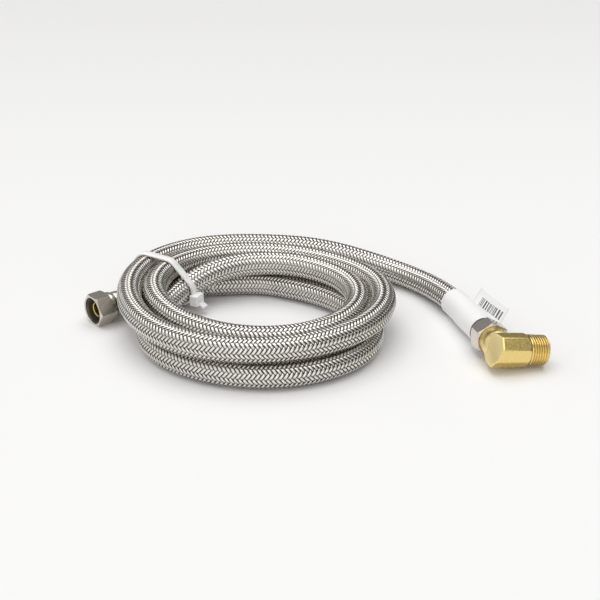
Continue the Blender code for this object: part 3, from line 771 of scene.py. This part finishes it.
# The cable tie is white nylon: a flat strap pulled tight round the turns where they cross, its
# square head on the inside of the coil, and the cut end of the strap.
white_nylon, nylon_tree, nylon_shader = new_material("white_nylon", (0.95, 0.95, 0.93), 0.35)
nylon_shader.inputs["Subsurface Weight"].default_value = 0.3
nylon_shader.inputs["Subsurface Scale"].default_value = 0.001
add_grain(nylon_tree, nylon_shader, 300, 0.3, 0.42, 0.2)
tie_bearing = math.radians(152)
strap_width = 0.0048
strap_thickness = 0.0012
tie_across = Vector((math.cos(tie_bearing), math.sin(tie_bearing), 0))
tie_along = tie_across.cross(up)
fine_line, _ = smooth_line(route, fine_spacing)
offset = (fine_line - np.array(coil_middle)) @ np.array(tie_along)
reach = (fine_line - np.array(coil_middle)) @ np.array(tie_across)
held = []
for i in np.nonzero(np.diff(np.sign(offset)) != 0)[0]:
    if reach[i] > 0:
        held.append((float(reach[i]), float(fine_line[i, 2])))


def strap_outline(gap, floor):
    """The convex outline this far outside the turns that the tie holds, as evenly spaced points."""
    radius = hose_diameter / 2 + gap
    angles = np.linspace(0, 2 * math.pi, 96, endpoint=False)
    ring = []
    for x, z in held:
        ring += [(x + radius * math.cos(a), max(z + radius * math.sin(a), floor)) for a in angles]
    hull = []
    for points in (sorted(ring), sorted(ring, reverse=True)):
        chain = []
        for p in points:
            while len(chain) > 1 and (
                (chain[-1][0] - chain[-2][0]) * (p[1] - chain[-2][1])
                - (chain[-1][1] - chain[-2][1]) * (p[0] - chain[-2][0])
            ) <= 1e-12:
                chain.pop()
            chain.append(p)
        hull += chain[:-1]
    closed = np.array(hull + hull[:1])
    along = np.concatenate([[0], np.cumsum(np.linalg.norm(np.diff(closed, axis=0), axis=1))])
    even = np.linspace(0, along[-1], 240, endpoint=False)
    return np.stack([np.interp(even, along, closed[:, axis]) for axis in range(2)], axis=1)


strap_middle = strap_outline(0.0002 + strap_thickness / 2, strap_thickness / 2 + 0.00002)
strap_run = np.roll(strap_middle, -1, axis=0) - np.roll(strap_middle, 1, axis=0)
strap_run /= np.linalg.norm(strap_run, axis=1)[:, None]
strap_out = np.stack([strap_run[:, 1], -strap_run[:, 0]], axis=1)
half, thick = strap_width / 2, strap_thickness / 2
section = ((-half, -thick * 0.6), (-half, thick * 0.6), (-half + 0.0003, thick), (half - 0.0003, thick))
section += ((half, thick * 0.6), (half, -thick * 0.6), (half - 0.0003, -thick), (-half + 0.0003, -thick))
strap_points = []
for (x, z), (out_x, out_z) in zip(strap_middle.tolist(), strap_out.tolist()):
    for sideways, outward in section:
        place = coil_middle + (x + outward * out_x) * tie_across + sideways * tie_along
        strap_points.append(place + Vector((0, 0, z + outward * out_z)))
count, width = len(strap_middle), len(section)
strap_faces = []
for i in range(count):
    for j in range(width):
        ahead, beside = (i + 1) % count, (j + 1) % width
        strap_faces.append((i * width + j, ahead * width + j, ahead * width + beside, i * width + beside))
tie = mesh_piece("cable_tie_strap", strap_points, strap_faces, white_nylon)
head_thickness, head_width, head_height = 0.0052, 0.0078, 0.0064
head_middle = 0.0083
inside = float(strap_middle[np.abs(strap_middle[:, 1] - head_middle).argsort()[:12], 0].min())
bpy.ops.mesh.primitive_cube_add(size=1)
tie_head = bpy.context.object
tie_head.name = "cable_tie_head"
tie_head.scale = (head_thickness, head_height, head_width)
bpy.ops.object.transform_apply(location=False, rotation=False, scale=True)
tie_head.data.materials.append(white_nylon)
ease_edges(tie_head, 0.0006, 3)
bpy.ops.mesh.primitive_cube_add(size=1)
tie_tail = bpy.context.object
tie_tail.name = "cable_tie_end"
tie_tail.scale = (0.0050, strap_thickness, strap_width * 0.92)
bpy.ops.object.transform_apply(location=False, rotation=False, scale=True)
tie_tail.data.materials.append(white_nylon)
ease_edges(tie_tail, 0.0002, 2)
tie_place = frame_of(tie_across, up, tie_along, coil_middle)
head_x = inside - head_thickness / 2 + 0.0004
put(tie_head, tie_place @ Matrix.Translation((head_x, head_middle, 0)), "hose")
tail_reach = Matrix.Translation((head_x - 0.0014, head_middle - 0.0012, 0))
tail_drop = Matrix.Rotation(math.radians(30), 4, "Z") @ Matrix.Translation((-0.0025, 0, 0))
put(tie_tail, tie_place @ tail_reach @ tail_drop, "hose")
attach(tie, "hose")
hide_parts("cable_tie")

# The label is one strip of white paper, wound round the hose behind the nut a little askew, with its
# two ends stuck together as a flag. Its print is left as a row of plain bars.
label_length = 0.0425
label_radius = sleeve_radius + 0.0005
flag_length = 0.0360
flag_widths = (0.0156, 0.0132)
flag_root = math.radians(-10)
flag_slope = math.radians(61)
flag_bend = 0.06
label_lap = 0.05
white_paper, paper_tree, paper_shader = new_material("label_paper", (0.92, 0.92, 0.91), 0.55)
add_grain(paper_tree, paper_shader, 1200, 0.5, 0.65, 0.15)
print_along, print_across = uv_places(paper_tree)
bar_noise = paper_tree.nodes.new("ShaderNodeTexNoise")
bar_noise.noise_dimensions = "1D"
bar_noise.inputs["Detail"].default_value = 2.0
bar_noise.inputs["Scale"].default_value = 640.0
paper_tree.links.new(print_along, bar_noise.inputs["W"])
bars = math_node(paper_tree, "GREATER_THAN", bar_noise.outputs["Fac"], 0.50)
thick_bar = math_node(paper_tree, "LESS_THAN", print_along, 0.0042)
bars = math_node(paper_tree, "MAXIMUM", bars, thick_bar)
for place, low, high in ((print_along, 0.0028, 0.0300), (print_across, 0.0046, 0.0096)):
    for operation, edge in (("GREATER_THAN", low), ("LESS_THAN", high)):
        within = math_node(paper_tree, operation, place, edge)
        bars = math_node(paper_tree, "MULTIPLY", bars, within)
blend_colour(paper_tree, paper_shader, bars, (0.92, 0.92, 0.91), (0.06, 0.06, 0.06))
label_route = [elbow_hose_end + (sleeve_length + clearance) * elbow_in, elbow_hose_end]
label_route += [elbow_hose_end - straight_start * elbow_in, *tail_points]
label_line, label_along = smooth_line(label_route, fine_spacing)
label_side, label_above = cross_sections(label_line)
label_sides = 64
label_steps = 56
flag_steps = 8
points, uv, starts = [], [], []
for place in np.linspace(0, label_length, label_steps).tolist():
    k = int(np.searchsorted(label_along, place))
    middle, right, above_here = Vector(label_line[k]), Vector(label_side[k]), Vector(label_above[k])
    wide = flag_widths[0] + (flag_widths[1] - flag_widths[0]) * place / flag_length
    starts.append(len(points))
    for j in range(label_sides + 1):
        angle = flag_root - label_lap - (2 * math.pi - label_lap) * j / label_sides
        points.append(middle + label_radius * (math.cos(angle) * right + math.sin(angle) * above_here))
        uv.append((place, wide + label_radius * 2 * math.pi * (1 - j / label_sides)))
    if place > flag_length + clearance:
        continue
    spot = points[-1]
    for step in range(flag_steps):
        slope = flag_slope - flag_bend * step / flag_steps
        spot = spot + wide / flag_steps * (math.cos(slope) * right + math.sin(slope) * above_here)
        points.append(spot)
        uv.append((place, wide * (1 - (step + 1) / flag_steps)))
starts.append(len(points))
faces = []
for i in range(label_steps - 1):
    across = min(starts[i + 1] - starts[i], starts[i + 2] - starts[i + 1])
    here, there = starts[i], starts[i + 1]
    faces += [(here + j, here + j + 1, there + j + 1, there + j) for j in range(across - 1)]
label = mesh_piece("paper_label", points, faces, white_paper, uv)
paper = label.modifiers.new("paper", "SOLIDIFY")
paper.thickness = 0.0002
paper.offset = 0
apply_modifiers(label)
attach(label, "hose")
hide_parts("label")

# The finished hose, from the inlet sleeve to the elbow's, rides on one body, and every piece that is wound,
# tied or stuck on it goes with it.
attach(hose, "hose")
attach(braid_right, "hose")
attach(braid_left, "hose")
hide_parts("hose_tail", "hose_coil_upper", "hose_coil_lower", "hose_inner_turn", "hose_lead")

# Six small pieces stay the part's own solids, because they are hidden or in deep shade. They take
# the materials made above.
own_solids = {
    "inlet_cone_washer": black_rubber,
    "inlet_hose_end": black_rubber,
    "elbow_cone_washer": black_rubber,
    "elbow_hose_end": black_rubber,
    "elbow_stem": brass,
    "elbow_crimp_sleeve": nickel_plate,
}
for node, material in own_solids.items():
    for slot in frame["nodes"][node].material_slots:
        slot.material = material

# The floor is a wide pale sheet, greyer far off as painted shade where the light falls away. A softbox
# overhead gives most of the light, and weaker ones fill in from the front left and from behind the camera.
# The rest of the room is dim, for the metal to show.
floor_material, floor_tree, floor_shader = new_material("pale_floor", (0.905, 0.905, 0.90), 0.6)
floor_shader.inputs["Specular IOR Level"].default_value = 0.1
bpy.ops.mesh.primitive_plane_add(size=8, location=(0, 0, -0.00005))
floor = bpy.context.object
floor.name = "floor"
floor.data.materials.append(floor_material)
floor_spot = floor_tree.nodes.new("ShaderNodeTexCoord")
floor_split = floor_tree.nodes.new("ShaderNodeSeparateXYZ")
floor_tree.links.new(floor_spot.outputs["Object"], floor_split.inputs["Vector"])
# Painted shade: the floor's colour darkens towards the back, as the light falls away.
floor_painted_falloff = ramp_node(floor_tree, floor_split.outputs["Y"], -0.05, 1.1, 0.915, 0.80)
floor_tree.links.new(floor_painted_falloff, floor_shader.inputs["Base Color"])
world = bpy.data.worlds.new("studio")
bpy.context.scene.world = world
world.use_nodes = True
sky = world.node_tree
background = sky.nodes["Background"]
background.inputs["Color"].default_value = (1.0, 0.995, 0.985, 1)
direction = sky.nodes.new("ShaderNodeTexCoord")
split = sky.nodes.new("ShaderNodeSeparateXYZ")
sky.links.new(direction.outputs["Generated"], split.inputs["Vector"])
light = ramp_node(sky, split.outputs["Z"], 0.02, 0.30, 0.07, 0.26)
# Each softbox has a direction, the cosines of its rim and of its even middle, and a strength.
softboxes = (
    ((0.0, 0.17, 0.985), 0.82, 0.88, 1.80),
    ((-0.75, -0.55, 0.36), -0.10, 0.75, 0.56),
    ((0.30, -0.91, 0.28), 0.72, 0.95, 0.5),
)
for towards, rim, inside, strength in softboxes:
    nearness = sky.nodes.new("ShaderNodeVectorMath")
    nearness.operation = "DOT_PRODUCT"
    nearness.inputs[1].default_value = towards
    sky.links.new(direction.outputs["Generated"], nearness.inputs[0])
    glow = ramp_node(sky, nearness.outputs["Value"], rim, inside, 0.0, strength)
    light = math_node(sky, "ADD", light, glow)
sky.links.new(light, background.inputs["Strength"])
